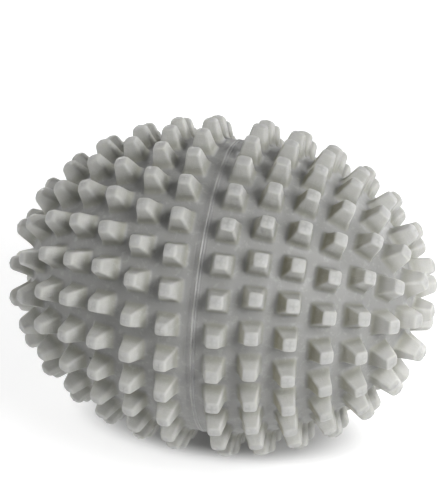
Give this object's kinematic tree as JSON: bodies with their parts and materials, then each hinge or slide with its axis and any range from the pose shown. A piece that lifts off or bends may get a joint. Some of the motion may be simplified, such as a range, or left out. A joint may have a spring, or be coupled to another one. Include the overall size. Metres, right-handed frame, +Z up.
{
  "type": "dryer ball",
  "caption": "Hollow oval ball of soft plastic covered in blunt square spikes, tumbled with laundry in a dryer to lift and separate it.",
  "frame": {"origin": "under the middle of the ball, on the plane that the lowest spike tips stand on", "axes": "+X along the ball's long axis towards the right half's pole, +Z up, +Y away from the side that is seen in front"},
  "size_m": [0.082, 0.0648, 0.0648],
  "materials": {
    "shell_right": "soft moulded plastic, grey, satin, slightly translucent",
    "shell_left": "soft moulded plastic, grey, satin, slightly translucent",
    "weld": "soft moulded plastic, grey, a little glossier along the weld line"
  },
  "bodies": {
    "root": {"right_half_shell": "shell_right", "left_half_shell": "shell_left", "weld_ring": "weld"}
  },
  "joints": []
}
